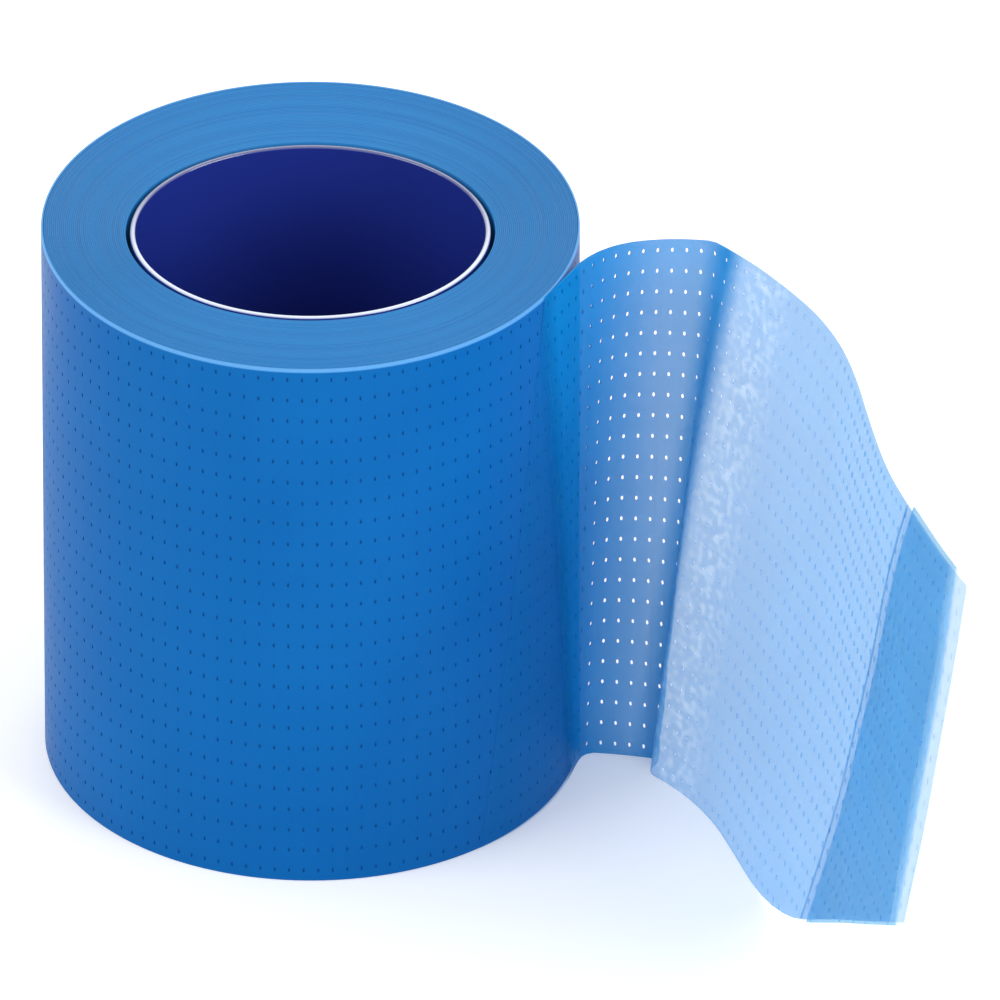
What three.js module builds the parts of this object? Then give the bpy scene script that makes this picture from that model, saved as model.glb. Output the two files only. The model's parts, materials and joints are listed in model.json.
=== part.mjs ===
// Roll of thin perforated film tape on a plastic core, standing on end, with its
// free end peeled off, swung out to one side and folded over into a pull tab.
//
// Frame: millimetres, +Z up along the roll, the roll stands on Z = 0.
// The tail leaves the roll at the right front (+X, -Y) and ends in front of it.
// The tape is one strip. It is built as separate stretches with a small gap
// where each one hinges on the next, so that the film can bend there.

import * as THREE from 'three';

// ---- driving dimensions (mm and degrees) ----

const TAPE_WIDTH = 50;
const FILM_THICKNESS = 0.16;
const ROLL_RADIUS = 22.2;
const ROLL_BORE_RADIUS = 15.2;
const GAP = 0.3;
const PACK_RADIUS = ROLL_RADIUS - FILM_THICKNESS - GAP;

// The core and the bore around it are pressed slightly oval, shallower from front to
// back than they are wide, and sit a little to the front of the roll's axis.
const BORE_SQUASH = 1.5;
const BORE_SHIFT = 0.9;

const CORE_WALL = 0.46;
const CORE_OUTER_RADIUS = ROLL_BORE_RADIUS - GAP - 0.04;
const CORE_BORE_RADIUS = CORE_OUTER_RADIUS - CORE_WALL;

const ROUND_STEPS = 96;

// Where each edge of the strip leaves the roll: the angle from +X towards -Y.
const PEEL_ANGLE = { top: 28, bottom: 14 };
const STUCK_ARC = 30;

// The free tail, from the roll outwards. Each edge is a chain of arcs, each with
// its length and how far it turns (positive turns towards -Y). The bottom edge
// makes a tight S at the crease, which fades out towards the top edge.
const TAIL_BENDS = [
  { top: [4.5, 0], bottom: [1.8, 8] },
  { top: [7.1, 50], bottom: [1.7, 75] },
  { top: [5.3, 20], bottom: [4.8, 10] },
  { top: [1.0, 21], bottom: [0.8, 122] },
  { top: [1.9, 19], bottom: [2.4, -94] },
  { top: [11.4, 17], bottom: [10.0, 23] },
  { top: [13.6, 15.5], bottom: [19.0, 4] },
  { top: [29.2, -12.6], bottom: [24.3, 7.6] },
];

// Stations along the tail, counted in bends: 2.5 is half way through the third.
const BAY_START = { top: 0.1, bottom: 0.25 };
const CREASE = 3;
const CREASE_GAP = { top: 0.35, bottom: 0.45 };
const TAIL_END = { top: TAIL_BENDS.length, bottom: TAIL_BENDS.length };

// The end is folded back over itself. The flap is narrower at the top edge, so the
// tab starts on a slant, just short of the flap's free edge.
const FLAP_START = { top: 7.55, bottom: 6.91 };
const TAB_START = { top: 7.54, bottom: 6.88 };
const TAB_GAP = { top: 0.012, bottom: 0.018 };

// The bottom corner of the tab is cut off on a slant, up to this share of the width.
const CORNER_TRIM = 0.36;

// ---- geometry ----

const radians = THREE.MathUtils.degToRad;
const TAPE_BLUE = 0x1b74c4;
const FILM_BLUE = 0x86bbe6;
const DOUBLE_FILM_BLUE = 0x5fafe2;

function material(color, roughness) {
  return new THREE.MeshStandardMaterial({ color, roughness, metalness: 0 });
}

function ring(innerRadius, outerRadius, height) {
  const profile = [
    new THREE.Vector2(innerRadius, 0),
    new THREE.Vector2(outerRadius, 0),
    new THREE.Vector2(outerRadius, height),
    new THREE.Vector2(innerRadius, height),
    new THREE.Vector2(innerRadius, 0),
  ];
  const geometry = new THREE.LatheGeometry(profile, ROUND_STEPS);
  geometry.rotateX(Math.PI / 2);
  return geometry;
}

// Presses a ring oval at and inside the bore, fading out towards the roll's outside.
function pressed(geometry) {
  const place = geometry.getAttribute('position');
  for (let i = 0; i < place.count; i += 1) {
    const radius = Math.hypot(place.getX(i), place.getY(i));
    const depth = (PACK_RADIUS - radius) / (PACK_RADIUS - ROLL_BORE_RADIUS);
    const share = THREE.MathUtils.clamp(depth, 0, 1);
    const squash = 1 - (share * BORE_SQUASH) / radius;
    place.setY(i, place.getY(i) * squash - share * BORE_SHIFT);
  }
  return geometry;
}

// One point of an edge at a station, with its heading, seen from above.
// Headings turn from +X towards -Y.
function edgePoint(edge, station) {
  const peel = radians(PEEL_ANGLE[edge]);
  const start = ROLL_RADIUS + GAP + FILM_THICKNESS;
  let x = start * Math.cos(peel);
  let forward = start * Math.sin(peel);
  let heading = peel - Math.PI / 2;
  TAIL_BENDS.forEach((bend, index) => {
    const [fullLength, fullTurn] = bend[edge];
    const share = THREE.MathUtils.clamp(station - index, 0, 1);
    const length = fullLength * share;
    const turn = radians(fullTurn) * share;
    const chord = turn === 0 ? length : (2 * length * Math.sin(turn / 2)) / turn;
    x += chord * Math.cos(heading + turn / 2);
    forward += chord * Math.sin(heading + turn / 2);
    heading += turn;
  });
  return { x, y: -forward, heading };
}

// The straight line across the film at a station, from the bottom edge to the top.
function ruling(station) {
  const bottom = edgePoint('bottom', station);
  const top = edgePoint('top', station);
  const plan = Math.hypot(top.x - bottom.x, top.y - bottom.y);
  const height = Math.sqrt(TAPE_WIDTH ** 2 - plan ** 2);
  return { bottom, top, height };
}

// A point of the film: how far across it (0 bottom, 1 top) and how far off its
// middle surface, positive on the outer side, which faces the front in the bay.
function filmPoint(station, across, off) {
  const { bottom, top, height } = ruling(station);
  const heading = THREE.MathUtils.lerp(bottom.heading, top.heading, across);
  const x = THREE.MathUtils.lerp(bottom.x, top.x, across);
  const y = THREE.MathUtils.lerp(bottom.y, top.y, across);
  return new THREE.Vector3(
    x - off * Math.sin(heading),
    y - off * Math.cos(heading),
    height * across,
  );
}

// A stretch of film as a slab bent to shape. Its two ends may slant across the film,
// and its bottom edge may rise along it to a share of the width.
function filmStretch(start, end, steps, rows, trim = 0, off = 0) {
  const slab = new THREE.BoxGeometry(1, 1, 1, steps, 1, rows);
  const place = slab.getAttribute('position');
  for (let i = 0; i < place.count; i += 1) {
    const along = place.getX(i) + 0.5;
    const side = -place.getY(i) * FILM_THICKNESS + off;
    const share = place.getZ(i) + 0.5;
    const across = THREE.MathUtils.lerp(trim * along, 1, share);
    const from = THREE.MathUtils.lerp(start.bottom, start.top, across);
    const to = THREE.MathUtils.lerp(end.bottom, end.top, across);
    const station = THREE.MathUtils.lerp(from, to, along);
    const point = filmPoint(station, across, side);
    place.setXYZ(i, point.x, point.y, point.z);
  }
  return slab;
}

// A line across the film, moved along it by so many stations at each edge.
function moved(line, by, times = 1) {
  return { top: line.top + by.top * times, bottom: line.bottom + by.bottom * times };
}

// ---- parts ----

function named(name, geometry, finish) {
  const mesh = new THREE.Mesh(geometry, finish);
  mesh.name = name;
  return mesh;
}

function coreTube() {
  const geometry = pressed(ring(CORE_BORE_RADIUS, CORE_OUTER_RADIUS, TAPE_WIDTH));
  return named('core_tube', geometry, material(0x14225e, 0.25));
}

function woundTape() {
  const geometry = pressed(ring(ROLL_BORE_RADIUS, PACK_RADIUS, TAPE_WIDTH));
  return named('wound_tape', geometry, material(0x3e8acb, 0.6));
}

function outerTurn() {
  const geometry = ring(ROLL_RADIUS - FILM_THICKNESS, ROLL_RADIUS, TAPE_WIDTH);
  return named('outer_turn', geometry, material(TAPE_BLUE, 0.45));
}

// The stretch just behind the peel line, which still hugs the roll.
function peelStrip() {
  const inner = ROLL_RADIUS + GAP + FILM_THICKNESS / 2;
  const slab = new THREE.BoxGeometry(1, 1, 1, 16, 1, 1);
  const place = slab.getAttribute('position');
  const endGap = radians(1);
  for (let i = 0; i < place.count; i += 1) {
    const share = place.getZ(i) + 0.5;
    const peel = THREE.MathUtils.lerp(PEEL_ANGLE.bottom, PEEL_ANGLE.top, share);
    const along = place.getX(i) + 0.5;
    const first = radians(PEEL_ANGLE.top + STUCK_ARC);
    const angle = THREE.MathUtils.lerp(first, radians(peel) + endGap, along);
    const radius = inner - place.getY(i) * FILM_THICKNESS;
    place.setXYZ(i, radius * Math.cos(angle), -radius * Math.sin(angle), share * TAPE_WIDTH);
  }
  return named('peel_strip', slab, material(TAPE_BLUE, 0.45));
}

function tailBay() {
  const crease = { top: CREASE, bottom: CREASE };
  const geometry = filmStretch(BAY_START, crease, 28, 1);
  return named('tail_bay', geometry, material(FILM_BLUE, 0.4));
}

function tailPanel() {
  const start = moved({ top: CREASE, bottom: CREASE }, CREASE_GAP);
  const end = moved(TAB_START, TAB_GAP, -1);
  const geometry = filmStretch(start, end, 32, 4);
  return named('tail_panel', geometry, material(FILM_BLUE, 0.4));
}

function pullTab() {
  const geometry = filmStretch(TAB_START, TAIL_END, 12, 4, CORNER_TRIM);
  return named('pull_tab', geometry, material(FILM_BLUE, 0.4));
}

// The flap lies behind the tab, on the side that faces away from the roll.
function tabFlap() {
  const off = -(FILM_THICKNESS + GAP);
  const geometry = filmStretch(FLAP_START, TAIL_END, 12, 4, CORNER_TRIM, off);
  return named('tab_flap', geometry, material(DOUBLE_FILM_BLUE, 0.4));
}

const tapeRoll = new THREE.Group();
tapeRoll.add(coreTube(), woundTape(), outerTurn());
tapeRoll.add(peelStrip(), tailBay(), tailPanel(), pullTab(), tabFlap());

// The origin is under the middle of the whole object's box.
const box = new THREE.Box3().setFromObject(tapeRoll);
const middle = box.getCenter(new THREE.Vector3());
tapeRoll.position.set(-middle.x, -middle.y, -box.min.z);

export default tapeRoll;
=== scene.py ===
"""Looks for a roll of thin perforated film tape with its end peeled off and folded over."""

import json
import math

import bmesh
import bpy
import numpy as np
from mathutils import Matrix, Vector


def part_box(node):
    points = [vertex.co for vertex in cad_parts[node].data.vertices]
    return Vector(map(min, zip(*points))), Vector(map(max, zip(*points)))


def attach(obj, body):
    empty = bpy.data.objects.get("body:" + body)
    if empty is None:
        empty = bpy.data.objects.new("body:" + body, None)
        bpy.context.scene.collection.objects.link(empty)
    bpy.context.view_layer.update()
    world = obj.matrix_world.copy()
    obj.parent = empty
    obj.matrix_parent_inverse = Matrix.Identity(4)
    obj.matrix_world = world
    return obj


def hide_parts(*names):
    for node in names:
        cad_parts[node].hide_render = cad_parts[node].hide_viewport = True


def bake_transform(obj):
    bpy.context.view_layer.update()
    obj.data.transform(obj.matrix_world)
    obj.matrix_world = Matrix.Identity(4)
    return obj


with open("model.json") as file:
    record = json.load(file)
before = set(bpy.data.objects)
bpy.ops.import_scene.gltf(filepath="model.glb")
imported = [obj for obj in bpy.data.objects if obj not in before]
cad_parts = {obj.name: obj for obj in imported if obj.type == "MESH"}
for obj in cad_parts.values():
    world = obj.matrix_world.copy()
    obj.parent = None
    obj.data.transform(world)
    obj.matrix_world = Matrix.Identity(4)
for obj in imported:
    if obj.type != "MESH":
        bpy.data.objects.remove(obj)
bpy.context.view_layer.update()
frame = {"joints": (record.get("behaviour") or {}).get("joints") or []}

MM = 0.001

# ---- sizes, in millimetres ----

roll_low, roll_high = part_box("outer_turn")
core_low, core_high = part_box("core_tube")
pack_low, pack_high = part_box("wound_tape")
AXIS = (roll_low + roll_high) / 2 / MM
ROLL_RADIUS = (roll_high.x - roll_low.x) / 2 / MM
TAPE_WIDTH = (roll_high.z - roll_low.z) / MM
CORE_RADIUS = (core_high.x - core_low.x) / 2 / MM
CORE_WALL = 0.46
PACK_RADIUS = (pack_high.x - pack_low.x) / 2 / MM
PACK_BORE = 15.2
BORE_SQUASH = 1.5
BORE_SHIFT = 0.9

FILM = 0.15
TURN_PITCH = 0.165
FILM_PITCH_ALONG = 1.2
FILM_PITCH_ACROSS = 2.0
ROWS = round(TAPE_WIDTH / FILM_PITCH_ACROSS)
HOLE_ALONG = 0.11
HOLE_ACROSS = 0.25
RIM_SCALE = 1.9
RIM_RISE = 0.022
PIT_SCALE = 0.75
PIT_RISE = 0.006
PIT_FLOOR = 0.09
BUMP_STRENGTH = 0.5
ROUND_STEPS = 192

# ---- the path of the strip, as in the CAD part ----
# Each edge is a chain of arcs: (length, turn in degrees, positive towards the front).
# The first bend still hugs the roll. The last is a short run-out for the end fold.

FILM_RADIUS = ROLL_RADIUS + 0.03 + FILM / 2
STUCK_FROM = 58
PEEL_TOP = 28
PEEL_BOTTOM = 14
TOP_BENDS = [
    (FILM_RADIUS * math.radians(STUCK_FROM - PEEL_TOP), PEEL_TOP - STUCK_FROM),
    (4.5, 0), (7.1, 50), (5.3, 20), (1.0, 21),
    (1.9, 19), (11.4, 17), (13.6, 15.5), (29.2, -12.6), (3, 0),
]
BOTTOM_BENDS = [
    (FILM_RADIUS * math.radians(STUCK_FROM - PEEL_BOTTOM), PEEL_BOTTOM - STUCK_FROM),
    (1.8, 8), (1.7, 75), (4.8, 10), (0.8, 122),
    (2.4, -94), (10.0, 23), (19.0, 4), (24.3, 7.6), (3, 0),
]
STATIONS_PER_BEND = 40
END_STATION = 9


def edge_path(bends):
    """Stations, arc lengths, places and headings along one edge, seen from above."""
    start = math.radians(STUCK_FROM)
    x = FILM_RADIUS * math.cos(start)
    forward = FILM_RADIUS * math.sin(start)
    heading = start - math.pi / 2
    length = 0.0
    rows = [(0.0, x, forward, heading)]
    for bend_length, turn in bends:
        step = bend_length / STATIONS_PER_BEND
        step_turn = math.radians(turn) / STATIONS_PER_BEND
        for _ in range(STATIONS_PER_BEND):
            x += step * math.cos(heading + step_turn / 2)
            forward += step * math.sin(heading + step_turn / 2)
            heading += step_turn
            length += step
            rows.append((length, x, forward, heading))
    return np.array(rows)


TOP = edge_path(TOP_BENDS)
BOTTOM = edge_path(BOTTOM_BENDS)


# Where the film starts to lift, where it folds back at its end, and how its end is cut.
LIFT_TOP = 10.9
LIFT_BOTTOM = 2.7
END_TOP = TOP[END_STATION * STATIONS_PER_BEND, 0]
END_BOTTOM = BOTTOM[END_STATION * STATIONS_PER_BEND, 0]
FOLD_RADIUS = 0.2
LOOP_WIDTH = 3.4
FLAP_TOP = 13.1
FLAP_BOTTOM = 26.0
TRIM_RUN = 29.4
TRIM_HEIGHT = 18.1
TRIM_ROUND = 6.0


def along_at(station, across=0.5):
    """The distance along the film at a station counted in bends."""
    index = round(station * STATIONS_PER_BEND)
    return BOTTOM[index, 0] * (1 - across) + TOP[index, 0] * across


CREST = along_at(3.6)
CREASE_TOP = 31.6
CREASE_BOTTOM = 26.4


def ripple(s, t):
    """The film's slight waviness, off its ideal surface. None where it is stuck down."""
    free = np.clip((s - TOP_BENDS[0][0] - 7) / 14, 0, 1)
    long_wave = 0.20 * np.sin(s / 6.1 + t / 17) + 0.12 * np.sin(t / 7.3 - s / 11 + 1.0)
    short_wave = 0.05 * np.sin(s / 2.3 + t / 5.1) + 0.035 * np.sin(t / 2.9 - s / 3.7)
    return free * (long_wave + short_wave)


def film_points(s, t, off):
    """Places of film points: s along it, t up across it, off its middle surface."""
    share = t / TAPE_WIDTH
    index = np.arange(len(TOP), dtype=float)
    station = np.empty_like(s)
    for value in np.unique(share):
        at = share == value
        reach = BOTTOM[:, 0] * (1 - value) + TOP[:, 0] * value
        station[at] = np.interp(s[at], reach, index)
    low = [np.interp(station, index, BOTTOM[:, k]) for k in range(4)]
    high = [np.interp(station, index, TOP[:, k]) for k in range(4)]
    slip = high[0] - low[0]
    plan = np.hypot(high[1] - low[1], high[2] - low[2])
    height = np.sqrt(TAPE_WIDTH**2 + slip**2 - plan**2)
    x, forward, heading = (low[k] * (1 - share) + high[k] * share for k in (1, 2, 3))
    radius = np.hypot(x, forward)
    grow = np.maximum(1, FILM_RADIUS / radius)
    off = off + ripple(s, t)
    x = x * grow - off * np.sin(heading)
    forward = forward * grow + off * np.cos(heading)
    return np.stack([x + AXIS.x, AXIS.y - forward, height * share], 1)


# ---- mesh building ----

RING = [(0, 0), (1, 0), (2, 0), (2, 1), (2, 2), (1, 2), (0, 2), (0, 1)]
RING_ANGLES = [math.radians(-135 + 45 * k) for k in range(8)]


def perforated_flat(first, columns, rows, pitch, wrap=False):
    """A perforated sheet laid flat, as (points (s, t, off), faces, pit flags).

    Each cell has one oval hole with a raised lip. A sheet that wraps is a tube: its
    holes are pits with a floor, and its back is plain."""
    points, pits, faces = [], [], []
    wide = 2 * columns if wrap else 2 * columns + 1
    tall = 2 * rows + 1
    half = FILM / 2
    scale = PIT_SCALE if wrap else 1
    rise = PIT_RISE if wrap else RIM_RISE

    def add(s, t, off, pit=0.0):
        points.append((s, t, off))
        pits.append(pit)
        return len(points) - 1

    def grid(off, heights):
        return [[add(first + i * pitch / 2, j * FILM_PITCH_ACROSS / 2, off) for j in heights]
                for i in range(wide)]

    front = grid(half, range(tall))
    back = grid(-half, [0, tall - 1] if wrap else range(tall))
    for i in range(columns):
        middle_s = first + (i + 0.5) * pitch
        for j in range(rows):
            middle_t = (j + 0.5) * FILM_PITCH_ACROSS
            around = [((2 * i + a) % wide, 2 * j + b) for a, b in RING]
            outer = [front[a][b] for a, b in around]
            oval = [(scale * HOLE_ALONG * math.cos(g), scale * HOLE_ACROSS * math.sin(g))
                    for g in RING_ANGLES]
            lip = [add(middle_s + RIM_SCALE * a, middle_t + RIM_SCALE * b, half + rise)
                   for a, b in oval]
            mouth = [add(middle_s + a, middle_t + b, half, 0.5) for a, b in oval]
            floor = [add(middle_s + a, middle_t + b, -half + (PIT_FLOOR if wrap else 0), 1.0)
                     for a, b in oval]
            for k in range(8):
                n = (k + 1) % 8
                faces.append((outer[k], outer[n], lip[n], lip[k]))
                faces.append((lip[k], lip[n], mouth[n], mouth[k]))
                faces.append((mouth[k], mouth[n], floor[n], floor[k]))
                if not wrap:
                    inner = [back[a][b] for a, b in around]
                    faces.append((floor[k], floor[n], inner[n], inner[k]))
            if wrap:
                faces.append(tuple(floor))
    last = tall - 1
    for i in range(wide if wrap else wide - 1):
        n = (i + 1) % wide
        faces.append((front[n][0], front[i][0], back[i][0], back[n][0]))
        faces.append((front[i][last], front[n][last], back[n][-1], back[i][-1]))
        if wrap:
            faces.append((back[n][0], back[i][0], back[i][1], back[n][1]))
    if not wrap:
        for j in range(last):
            faces.append((front[0][j], front[0][j + 1], back[0][j + 1], back[0][j]))
            faces.append((front[-1][j + 1], front[-1][j], back[-1][j], back[-1][j + 1]))
    return np.array(points), faces, np.array(pits)


def mesh_object(name, points, faces, attributes=None):
    """A mesh object from points in millimetres."""
    mesh = bpy.data.meshes.new(name)
    mesh.from_pydata((np.asarray(points) * MM).tolist(), [], faces)
    for key, values in (attributes or {}).items():
        layer = mesh.attributes.new(key, "FLOAT", "POINT")
        layer.data.foreach_set("value", np.asarray(values, np.float32))
    mesh.polygons.foreach_set("use_smooth", [True] * len(mesh.polygons))
    obj = bpy.data.objects.new(name, mesh)
    bpy.context.scene.collection.objects.link(obj)
    return obj


def trimmed(points, faces, cuts):
    """The flat sheet with what lies past each cut taken off, and the openings closed.

    A cut is a line in the flat film through two (s, t) points. What is to the left of
    the way from the first to the second is kept."""
    mesh = bmesh.new()
    verts = [mesh.verts.new(p) for p in points]
    for face in faces:
        mesh.faces.new([verts[i] for i in face])
    for (s0, t0), (s1, t1) in cuts:
        outward = Vector((t1 - t0, s0 - s1, 0)).normalized()
        everything = list(mesh.verts) + list(mesh.edges) + list(mesh.faces)
        bmesh.ops.bisect_plane(mesh, geom=everything, dist=1e-5, plane_co=(s0, t0, 0),
                               plane_no=outward, clear_outer=True)
        open_edges = [e for e in mesh.edges if e.is_boundary]
        bmesh.ops.holes_fill(mesh, edges=open_edges, sides=0)
    mesh.verts.index_update()
    new_points = np.array([v.co[:] for v in mesh.verts])
    new_faces = [tuple(v.index for v in f.verts) for f in mesh.faces]
    mesh.free()
    return new_points, new_faces


def sharpen(obj, angle=40):
    """Keeps crisp edges crisp on a smooth-shaded piece."""
    mesh = bmesh.new()
    mesh.from_mesh(obj.data)
    limit = math.radians(angle)
    for edge in mesh.edges:
        if len(edge.link_faces) == 2:
            edge.smooth = edge.calc_face_angle(0) < limit
    mesh.to_mesh(obj.data)
    mesh.free()


def turned(name, profile, steps):
    """A solid turned about the roll axis from a closed (radius, height) outline.

    At and inside the bore it is pressed oval and moved to the front, as in the CAD."""
    points, faces = [], []
    count = len(profile)
    for i in range(steps):
        turn = 2 * math.pi * i / steps
        for radius, height in profile:
            share = np.clip((PACK_RADIUS - radius) / (PACK_RADIUS - PACK_BORE), 0, 1)
            depth = radius - BORE_SQUASH * share
            points.append((AXIS.x + radius * math.cos(turn),
                           AXIS.y + depth * math.sin(turn) - BORE_SHIFT * share, height))
    for i in range(steps):
        n = (i + 1) % steps
        for j in range(count):
            k = (j + 1) % count
            faces.append((i * count + j, n * count + j, n * count + k, i * count + k))
    return mesh_object(name, points, faces)


# ---- materials ----


def new_material(name):
    made = bpy.data.materials.new(name)
    made.use_nodes = True
    nodes = made.node_tree.nodes
    links = made.node_tree.links
    return made, nodes, links, nodes["Principled BSDF"]


def noise(nodes, links, scale, detail=3.0):
    place = nodes.new("ShaderNodeTexCoord")
    made = nodes.new("ShaderNodeTexNoise")
    made.inputs["Scale"].default_value = scale
    made.inputs["Detail"].default_value = detail
    links.new(place.outputs["Object"], made.inputs["Vector"])
    return made.outputs["Fac"]


def ramp(nodes, links, value, stops):
    made = nodes.new("ShaderNodeValToRGB")
    elements = made.color_ramp.elements
    while len(elements) < len(stops):
        elements.new(0.5)
    for element, (at, colour) in zip(elements, stops):
        element.position = at
        element.color = (*colour, 1)
    links.new(value, made.inputs["Fac"])
    return made.outputs["Color"]


def mixed(nodes, links, share, first, second):
    made = nodes.new("ShaderNodeMix")
    made.data_type = "RGBA"
    for key, value in ((0, share), (6, first), (7, second)):
        if hasattr(value, "is_linked"):
            links.new(value, made.inputs[key])
        elif key == 0:
            made.inputs[key].default_value = value
        else:
            made.inputs[key].default_value = (*value, 1)
    return made.outputs[2]


def coordinate(nodes, links, axis):
    """A point's place along one axis, in metres, before any pose."""
    place = nodes.new("ShaderNodeTexCoord")
    made = nodes.new("ShaderNodeSeparateXYZ")
    links.new(place.outputs["Object"], made.inputs["Vector"])
    return made.outputs[axis]


def product(nodes, links, first, second):
    made = nodes.new("ShaderNodeMath")
    made.operation = "MULTIPLY"
    links.new(first, made.inputs[0])
    links.new(second, made.inputs[1])
    return made.outputs["Value"]


def attribute(nodes, key):
    made = nodes.new("ShaderNodeAttribute")
    made.attribute_name = key
    return made.outputs["Fac"]


def ranged(nodes, links, value, low, high, to_low, to_high):
    made = nodes.new("ShaderNodeMapRange")
    for key, number in (("From Min", low), ("From Max", high), ("To Min", to_low), ("To Max", to_high)):
        made.inputs[key].default_value = number
    links.new(value, made.inputs["Value"])
    return made.outputs["Result"]


def bumped(nodes, links, shader, value, distance):
    made = nodes.new("ShaderNodeBump")
    made.inputs["Distance"].default_value = distance
    made.inputs["Strength"].default_value = BUMP_STRENGTH
    links.new(value, made.inputs["Height"])
    links.new(made.outputs["Normal"], shader.inputs["Normal"])


def core_material():
    """Glossy navy plastic with faint moulding haze, and a painted highlight on its top lip, pale at the
    front and fading to navy towards the back.
    """
    made, nodes, links, shader = new_material("navy_core_plastic")
    haze = noise(nodes, links, 45)
    colour = ramp(nodes, links, haze, [(0.3, (0.013, 0.027, 0.235)), (0.7, (0.015, 0.031, 0.260))])
    links.new(ranged(nodes, links, haze, 0.3, 0.7, 0.18, 0.24), shader.inputs["Roughness"])
    shader.inputs["Coat Weight"].default_value = 0.8
    # Painted highlight on the top lip: pale at the front of the core, fading to dark navy at the back.
    front, back = (AXIS.y - 5) * MM, (AXIS.y + 5) * MM
    front_highlight = ranged(nodes, links, coordinate(nodes, links, "Y"), front, back, 1, 0.1)
    pale = mixed(nodes, links, front_highlight, (0.05, 0.06, 0.20), (0.62, 0.68, 0.80))
    links.new(mixed(nodes, links, attribute(nodes, "lip"), colour, pale), shader.inputs["Base Color"])
    return made


def pack_material():
    """The stacked cut edges of the film: satin, streaked round the roll."""
    made, nodes, links, shader = new_material("wound_film_edges")
    tone = attribute(nodes, "turn_tone")
    cloud = noise(nodes, links, 90)
    streaks = ramp(nodes, links, tone, [(0, (0.006, 0.155, 0.430)), (1, (0.024, 0.215, 0.520))])
    colour = mixed(nodes, links, cloud, streaks, (0.012, 0.180, 0.470))
    shader.inputs["Specular IOR Level"].default_value = 0.3
    links.new(colour, shader.inputs["Base Color"])
    links.new(ranged(nodes, links, tone, 0, 1, 0.42, 0.6), shader.inputs["Roughness"])
    bumped(nodes, links, shader, noise(nodes, links, 2500), 0.00002)
    return made


def face_material():
    """Many layers of blue film seen from outside: deep blue, with painted shade in the perforations and
    a painted highlight along the top edge.
    """
    made, nodes, links, shader = new_material("wound_film_face")
    cloud = noise(nodes, links, 60)
    base = ramp(nodes, links, cloud, [(0.3, (0.000, 0.104, 0.355)), (0.7, (0.001, 0.119, 0.385))])
    # Painted shade: the pit floors and walls are darker blue.
    shaded_pits = mixed(nodes, links, attribute(nodes, "pit"), base, (0.000, 0.084, 0.310))
    # Painted highlight: a paler blue band along the top edge of the outer turn.
    top = TAPE_WIDTH * MM
    rim_highlight = ranged(nodes, links, coordinate(nodes, links, "Z"), top - 0.35 * MM, top - 0.2 * MM, 0, 1)
    colour = mixed(nodes, links, rim_highlight, shaded_pits, (0.100, 0.330, 0.680))
    links.new(colour, shader.inputs["Base Color"])
    links.new(ranged(nodes, links, cloud, 0.3, 0.7, 0.36, 0.48), shader.inputs["Roughness"])
    bumped(nodes, links, shader, noise(nodes, links, 1500), 0.00002)
    shader.inputs["Specular IOR Level"].default_value = 0.05
    shader.inputs["Sheen Weight"].default_value = 0.03
    return made


def film_material(name, deep_glow, pale_glow):
    """One layer of translucent blue film. Part of what is behind it shows through,
    and light from behind makes it glow a paler blue. In single_film the deep and pale
    glows are painted shade in the bay and painted light on the panel, and noise spots
    on the ridge beside the crease are painted highlights."""
    made, nodes, links, shader = new_material(name)
    cloud = noise(nodes, links, 120)
    lit = ramp(nodes, links, cloud, [(0.3, (0.001, 0.305, 0.780)), (0.7, (0.003, 0.345, 0.850))])
    links.new(ranged(nodes, links, cloud, 0.3, 0.7, 0.30, 0.42), shader.inputs["Roughness"])
    shader.inputs["Specular IOR Level"].default_value = 0.15
    bumped(nodes, links, shader, noise(nodes, links, 1300), 0.00003)
    glow = nodes.new("ShaderNodeBsdfTranslucent")
    # On the peeled strip the pale attribute paints light on the panel past the crease and shade in the
    # bay before it.
    pale = mixed(nodes, links, attribute(nodes, "pale"), deep_glow, pale_glow)
    # Painted highlights: noise spots on the ridge beside the crease, mixed towards white in the glow
    # and the base colour.
    glint_spots = ranged(nodes, links, noise(nodes, links, 1400, 0), 0.42, 0.72, 0, 0.55)
    sparkle = product(nodes, links, attribute(nodes, "ridge"), glint_spots)
    links.new(mixed(nodes, links, sparkle, pale, (0.80, 0.92, 1.0)), glow.inputs["Color"])
    glint = mixed(nodes, links, sparkle, lit, (0.60, 0.80, 0.98))
    links.new(glint, shader.inputs["Base Color"])
    body = nodes.new("ShaderNodeMixShader")
    body.inputs["Fac"].default_value = 0.4
    links.new(shader.outputs["BSDF"], body.inputs[1])
    links.new(glow.outputs["BSDF"], body.inputs[2])
    window = nodes.new("ShaderNodeBsdfTransparent")
    surface = nodes.new("ShaderNodeMixShader")
    links.new(attribute(nodes, "clear"), surface.inputs["Fac"])
    links.new(body.outputs["Shader"], surface.inputs[1])
    links.new(window.outputs["BSDF"], surface.inputs[2])
    links.new(surface.outputs["Shader"], nodes["Material Output"].inputs["Surface"])
    return made


# ---- pieces ----


def finish(obj, made, body, slot_name, *nodes):
    obj.data.materials.append(made)
    if body:
        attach(obj, body)
    if nodes:
        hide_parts(*nodes)
    return obj


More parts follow.
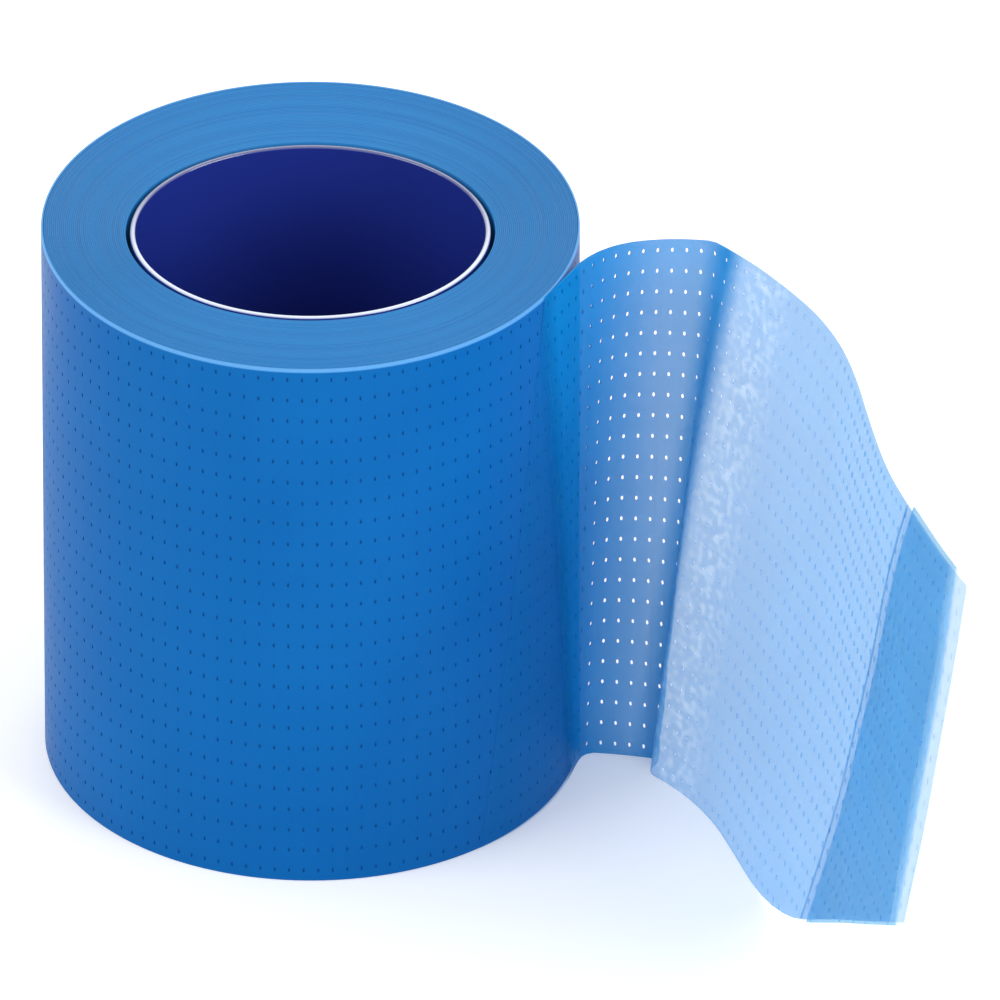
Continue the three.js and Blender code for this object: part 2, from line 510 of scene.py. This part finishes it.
def make_core():
    """The core: a thin tube with rounded lips."""
    round_radius = CORE_WALL * 0.42
    inner = CORE_RADIUS - CORE_WALL
    corners = [(CORE_RADIUS - round_radius, TAPE_WIDTH - round_radius, 0),
               (inner + round_radius, TAPE_WIDTH - round_radius, 90),
               (inner + round_radius, round_radius, 180),
               (CORE_RADIUS - round_radius, round_radius, 270)]
    profile = []
    for radius, height, first in corners:
        for k in range(6):
            angle = math.radians(first + 18 * k)
            profile.append((radius + round_radius * math.cos(angle),
                            height + round_radius * math.sin(angle)))
    profile += [(CORE_RADIUS, TAPE_WIDTH * k / 8) for k in (2, 4, 6)]
    obj = turned("core_tube_shell", profile, ROUND_STEPS)
    # The lip mask marks the top of the lip, where the core material paints its highlight.
    lip = obj.data.attributes.new("lip", "FLOAT", "POINT")
    heights = np.array([height for _, height in profile])
    at_lip = np.clip((heights - TAPE_WIDTH + 0.12) / 0.08, 0, 1)
    lip.data.foreach_set("value", np.tile(at_lip, ROUND_STEPS).astype(np.float32))
    return finish(obj, core_material(), "roll", "core_plastic", "core_tube")


def make_pack():
    """The wound turns: every film edge is a small ridge on both end faces."""
    outer = ROLL_RADIUS - FILM - 0.04
    turns = int((outer - PACK_BORE) / TURN_PITCH)
    pitch = (outer - PACK_BORE) / turns
    rng = np.random.default_rng(7)
    lift = rng.uniform(-0.035, 0.03, turns)
    profile, tones = [], []
    for end in (0, 1):
        order = range(turns) if end == 0 else range(turns - 1, -1, -1)
        for turn in order:
            start = PACK_BORE + turn * pitch
            parts = ((0.06, 0.06), (0.28, 0), (0.72, 0), (0.94, 0.06))
            for share, drop in parts if end == 0 else reversed(parts):
                depth = drop - min(0, lift[turn]) + (0.02 if end == 0 else 0.0)
                height = depth if end == 0 else TAPE_WIDTH - depth
                profile.append((start + share * pitch, height))
                tones.append((lift[turn] + 0.035) / 0.065)
    steps = 160
    obj = turned("wound_turns", profile, steps)
    tone = obj.data.attributes.new("turn_tone", "FLOAT", "POINT")
    tone.data.foreach_set("value", np.tile(np.array(tones, np.float32), steps))
    return finish(obj, pack_material(), "roll", "wound_edge", "wound_tape")


def make_outer_turn():
    """The outermost turn, perforated, with a painted highlight along its upper edge."""
    columns = round(2 * math.pi * ROLL_RADIUS / FILM_PITCH_ALONG)
    pitch = 2 * math.pi * ROLL_RADIUS / columns
    points, faces, pits = perforated_flat(0, columns, ROWS, pitch, wrap=True)
    angle = points[:, 0] / ROLL_RADIUS
    radius = ROLL_RADIUS - FILM / 2 - RIM_RISE + points[:, 2]
    z = points[:, 1]
    places = np.stack([AXIS.x + radius * np.cos(angle), AXIS.y + radius * np.sin(angle), z], 1)
    obj = mesh_object("outermost_turn", places, faces, {"pit": pits})
    sharpen(obj)
    return finish(obj, face_material(), "roll", "tape_face", "outer_turn")


def film_tones(s, t):
    """How clear each side of the film is, how pale it glows, and where painted glints go. It is
    less clear in a band just before the crease, for film doubled over there and painted shade in
    the crease; less clear near the roll as painted shade over the bay; paler and clearer past the
    crease as painted light on the panel; and clearest on the strip next to the end fold."""
    crease = CREASE_BOTTOM + (CREASE_TOP - CREASE_BOTTOM) * t / TAPE_WIDTH
    past = s - crease
    # A band just before the crease is made less clear and darker: partly for film doubled over there,
    # partly painted shade in the crease.
    dense = np.clip(1 - np.abs(past + 0.9) / 2.2, 0, 1)
    # The ridge beside the crease is where the painted glints go.
    ridge = np.clip(1 - np.abs(past - 4.0) / 4.5, 0, 1)
    # Painted shade: the film near the roll, over the bay, is made less clear and so darker.
    bay_shade = np.clip((25 - s) / 6, 0, 1)
    leaves = BOTTOM_BENDS[0][0] + (TOP_BENDS[0][0] - BOTTOM_BENDS[0][0]) * t / TAPE_WIDTH
    stuck = np.clip((leaves + 1 - s) / 3, 0, 1)
    strip = np.clip((s - fold_line(t) + LOOP_WIDTH) / 0.3, 0, 1)
    # Painted light and shade: past the crease the film glows paler and is clearer, as lit; before it,
    # in the bay, it stays deep, as shaded.
    pale = np.clip(past / 2 + 0.5, 0, 1)
    clear = 0.36 + 0.11 * pale - 0.24 * dense - 0.22 * bay_shade + 0.24 * strip
    clear += (0.86 - clear) * stuck
    return {"clear": clear, "pale": pale, "ridge": ridge}


def film_piece(name, first, last, cuts):
    """A stretch of the free film between two distances along it."""
    start = math.floor(first / FILM_PITCH_ALONG) * FILM_PITCH_ALONG
    columns = math.ceil((last - start) / FILM_PITCH_ALONG)
    points, faces, _ = perforated_flat(start, columns, ROWS, FILM_PITCH_ALONG)
    points, faces = trimmed(points, faces, cuts)
    s, t, off = points.T
    lift = LIFT_BOTTOM + (LIFT_TOP - LIFT_BOTTOM) * t / TAPE_WIDTH
    taper = np.clip((s - lift) / 4, 0.2, 1)
    places = film_points(s, t, (off + FILM / 2) * taper - FILM / 2)
    obj = mesh_object(name, places, faces, film_tones(s, t))
    sharpen(obj)
    return obj


def fold_line(t):
    """Where the film folds back, as a distance along it, for points across it."""
    return END_BOTTOM + (END_TOP - END_BOTTOM) * t / TAPE_WIDTH


def trim_cuts():
    """The slanted cut across the strip's lower corner, starting with a rounded corner."""
    corner = (END_BOTTOM - TRIM_RUN, 0)
    far = (fold_line(TRIM_HEIGHT), TRIM_HEIGHT)
    slope = math.atan2(far[1] - corner[1], far[0] - corner[0])
    after = (corner[0] + TRIM_ROUND * math.cos(slope), TRIM_ROUND * math.sin(slope))
    line = []
    for k in range(6):
        share = k / 5
        early, late = (1 - share) ** 2, share**2
        line.append((corner[0] - TRIM_ROUND * early + (after[0] - corner[0]) * late, after[1] * late))
    return list(zip(line, line[1:])) + [(corner, far)]


def make_film():
    """The peeled strip in three stretches."""
    tab_top = END_TOP - FLAP_TOP + 0.2
    tab_bottom = END_BOTTOM - FLAP_BOTTOM + 0.2
    end = ((END_BOTTOM, 0), (END_TOP, TAPE_WIDTH))
    lift_line = ((LIFT_TOP, TAPE_WIDTH), (LIFT_BOTTOM, 0))
    before_crest = ((CREST, 0), (CREST, TAPE_WIDTH))
    before_tab = ((tab_bottom, 0), (tab_top, TAPE_WIDTH))

    root = film_piece("film_root", LIFT_BOTTOM, CREST, [before_crest, lift_line])
    bend = film_piece("film_bend", CREST, tab_top,
                      [before_crest[::-1], before_tab, *trim_cuts()])
    tab = film_piece("film_end", tab_bottom, END_TOP, [before_tab[::-1], end, *trim_cuts()])
    # The deep glow is painted shade for the bay, the pale glow painted light for the panel.
    material = film_material("single_film", (0.02, 0.30, 0.50), (0.31, 0.55, 0.68))
    for piece in (root, bend, tab):
        piece.data.materials.append(material)
    return root, bend, tab


def make_flap():
    """The end of the strip, folded back behind the tab."""
    arc = math.pi * FOLD_RADIUS
    columns = math.ceil(FLAP_BOTTOM / FILM_PITCH_ALONG) + 1
    points, faces, _ = perforated_flat(0, columns, ROWS, FILM_PITCH_ALONG)
    free_edge = ((FLAP_BOTTOM, 0), (FLAP_TOP, TAPE_WIDTH))
    trim = [((fold_line(t1) - s1, t1), (fold_line(t0) - s0, t0))
            for (s0, t0), (s1, t1) in trim_cuts()]
    points, faces = trimmed(points, faces, [free_edge, *trim])
    run, t, height = points[:, 0], points[:, 1], points[:, 2]
    fold = fold_line(t)
    turn = np.clip(run / arc, 0, 1) * math.pi
    radius = FOLD_RADIUS + height
    along = fold + radius * np.sin(turn) - np.maximum(0, run - arc)
    off = -FOLD_RADIUS + radius * np.cos(turn)
    places = film_points(along, t, off)
    loop = np.clip((LOOP_WIDTH - run) / 0.3, 0, 1)
    tones = {"clear": 0.52 + 0.44 * loop, "pale": 0.4 + 0.6 * loop, "ridge": 0 * loop}
    obj = mesh_object("folded_flap", places, faces, tones)
    sharpen(obj)
    material = film_material("folded_film", (0.02, 0.52, 0.52), (0.42, 0.74, 0.72))
    finish(obj, material, "tab", "tape_film_double", "tab_flap")
    return obj


# ---- studio ----

CAMERA_ELEVATION = math.radians(32.8)
CAMERA_DISTANCE = 3.0
FRAME_WIDTH = 82.6
SENSOR = 36.0
LOOK_AT = Vector((15.6, -3.0, 25.0))


def make_studio():
    scene = bpy.context.scene
    target = (Vector((AXIS.x, AXIS.y, 0)) + LOOK_AT) * MM
    camera_data = bpy.data.cameras.new("camera")
    camera_data.sensor_width = SENSOR
    camera_data.lens = SENSOR * CAMERA_DISTANCE / (FRAME_WIDTH * MM)
    camera_data.clip_start = 0.01
    camera = bpy.data.objects.new("camera", camera_data)
    scene.collection.objects.link(camera)
    back = Vector((0, -math.cos(CAMERA_ELEVATION), math.sin(CAMERA_ELEVATION)))
    camera.location = target + back * CAMERA_DISTANCE
    camera.rotation_euler = (math.pi / 2 - CAMERA_ELEVATION, 0, 0)
    scene.camera = camera

    floor = mesh_object("floor", [(-3000, -3000, -0.05), (3000, -3000, -0.05),
                                  (3000, 3000, -0.05), (-3000, 3000, -0.05)], [(0, 1, 2, 3)])
    made, _, _, shader = new_material("floor_white")
    shader.inputs["Base Color"].default_value = (0.95, 0.95, 0.95, 1)
    shader.inputs["Roughness"].default_value = 0.8
    shader.inputs["Emission Color"].default_value = (1, 1, 1, 1)
    shader.inputs["Emission Strength"].default_value = 0.2
    floor.data.materials.append(made)

    def area_light(name, place, size, power):
        data = bpy.data.lights.new(name, "AREA")
        data.shape = "RECTANGLE"
        data.size = size
        data.size_y = size
        data.energy = power
        lamp = bpy.data.objects.new(name, data)
        scene.collection.objects.link(lamp)
        lamp.location = place
        lamp.rotation_euler = (target - Vector(place)).to_track_quat("-Z", "Y").to_euler()

    area_light("left", (-0.65, -0.25, 0.45), 0.5, 2.4)
    area_light("right", (0.60, -0.35, 0.40), 0.5, 4.2)
    area_light("back", (0.1, 0.6, 0.5), 0.5, 1.2)

    world = bpy.data.worlds.new("studio")
    world.use_nodes = True
    world.node_tree.nodes["Background"].inputs["Color"].default_value = (1, 1, 1, 1)
    world.node_tree.nodes["Background"].inputs["Strength"].default_value = 0.72
    scene.world = world
    scene.view_settings.view_transform = "Standard"


make_studio()
make_core()
make_pack()
make_outer_turn()
film_root, film_bend, film_end = make_film()
flap = make_flap()


def joint_named(name):
    return next(joint for joint in frame["joints"] if joint["name"] == name)


def blend_about(piece):
    """Bakes a piece's world transform into its mesh; it does not bend it."""
    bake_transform(piece)


def heading(degrees):
    """A level direction, turned from +X towards the front."""
    angle = math.radians(degrees)
    return Vector((math.cos(angle), -math.sin(angle), 0))


blend_about(film_root)
blend_about(film_bend)

# The doubled tab is stiff, so the film bends sharply along the flap's slanted edge; here the hinge line
# and an outward direction are only worked out, and the end stretch is baked unbent.
tab_joint = joint_named("tab_flex")
hinge_line = Vector(tab_joint["axis"]).normalized()
outward = heading(75)
outward = (outward - hinge_line * outward.dot(hinge_line)).normalized()
blend_about(film_end)

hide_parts("peel_strip", "tail_bay")
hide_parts("tail_panel")
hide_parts("pull_tab")
